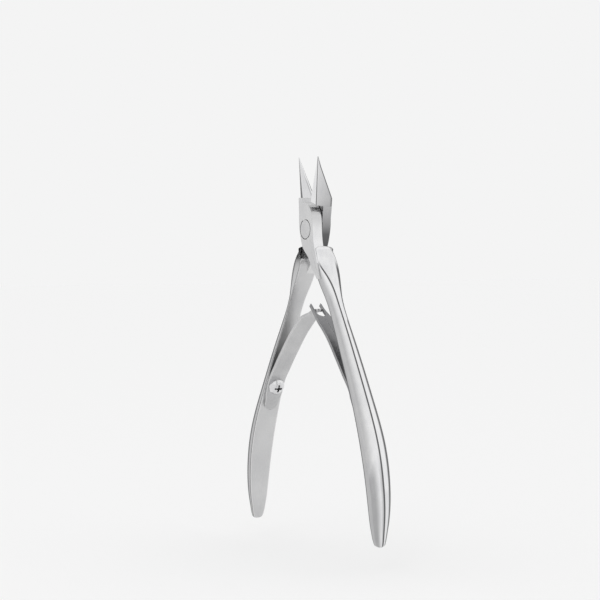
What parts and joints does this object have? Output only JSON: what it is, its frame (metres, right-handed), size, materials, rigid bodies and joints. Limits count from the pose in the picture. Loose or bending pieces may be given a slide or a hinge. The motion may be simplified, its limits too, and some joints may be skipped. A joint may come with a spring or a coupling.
{
  "type": "cuticle nipper",
  "caption": "Lap-joint cuticle nipper, sprung open: two bowed handles, tapering pointed jaws, a flush rivet and two interlocking leaf springs held by cross-recess screws.",
  "frame": {"origin": "on the rivet's axis, at the joint's flat back face", "axes": "+Z from the handles towards the jaw tips, +Y out of the joint's flat back along the rivet's axis, +X towards the handle that carries the front half of the joint"},
  "size_m": [0.0754, 0.0072, 0.1089],
  "materials": {
    "lever_steel": "satin inner and joint faces, mirror-polished outer faces",
    "rivet_steel": "satin, ground flush",
    "spring_steel": "satin",
    "screw_steel": "polished"
  },
  "bodies": {
    "rear_half": {"rear_lever": "lever_steel", "pivot_rivet": "rivet_steel", "tongue_spring_foot": "spring_steel", "tongue_spring_screw": "screw_steel"},
    "front_half": {"front_lever": "lever_steel", "fork_spring_foot": "spring_steel", "fork_spring_screw": "screw_steel"},
    "tongue_blade": {"tongue_spring_blade": "spring_steel"},
    "fork_blade": {"fork_spring_blade": "spring_steel"}
  },
  "joints": [
    {"name": "pivot", "type": "hinge", "parent": "rear_half", "child": "front_half", "pos_m": [0, -0.003, 0], "axis": [0, 1, 0], "range_deg": [0, 28.2], "stiffness_Nm_per_rad": 0.8},
    {"name": "fork_flex", "type": "hinge", "parent": "front_half", "child": "fork_blade", "pos_m": [0.0228, -0.003, -0.0445], "axis": [0, 1, 0], "range_deg": [0, 10.53]},
    {"name": "tongue_flex", "type": "hinge", "parent": "rear_half", "child": "tongue_blade", "pos_m": [-0.0228, -0.003, -0.0445], "axis": [0, 1, 0], "range_deg": [-10.53, 0]}
  ],
  "couplings": [
    {"joint": "fork_flex", "follows": "pivot", "ratio": 0.37},
    {"joint": "tongue_flex", "follows": "pivot", "ratio": -0.37}
  ]
}
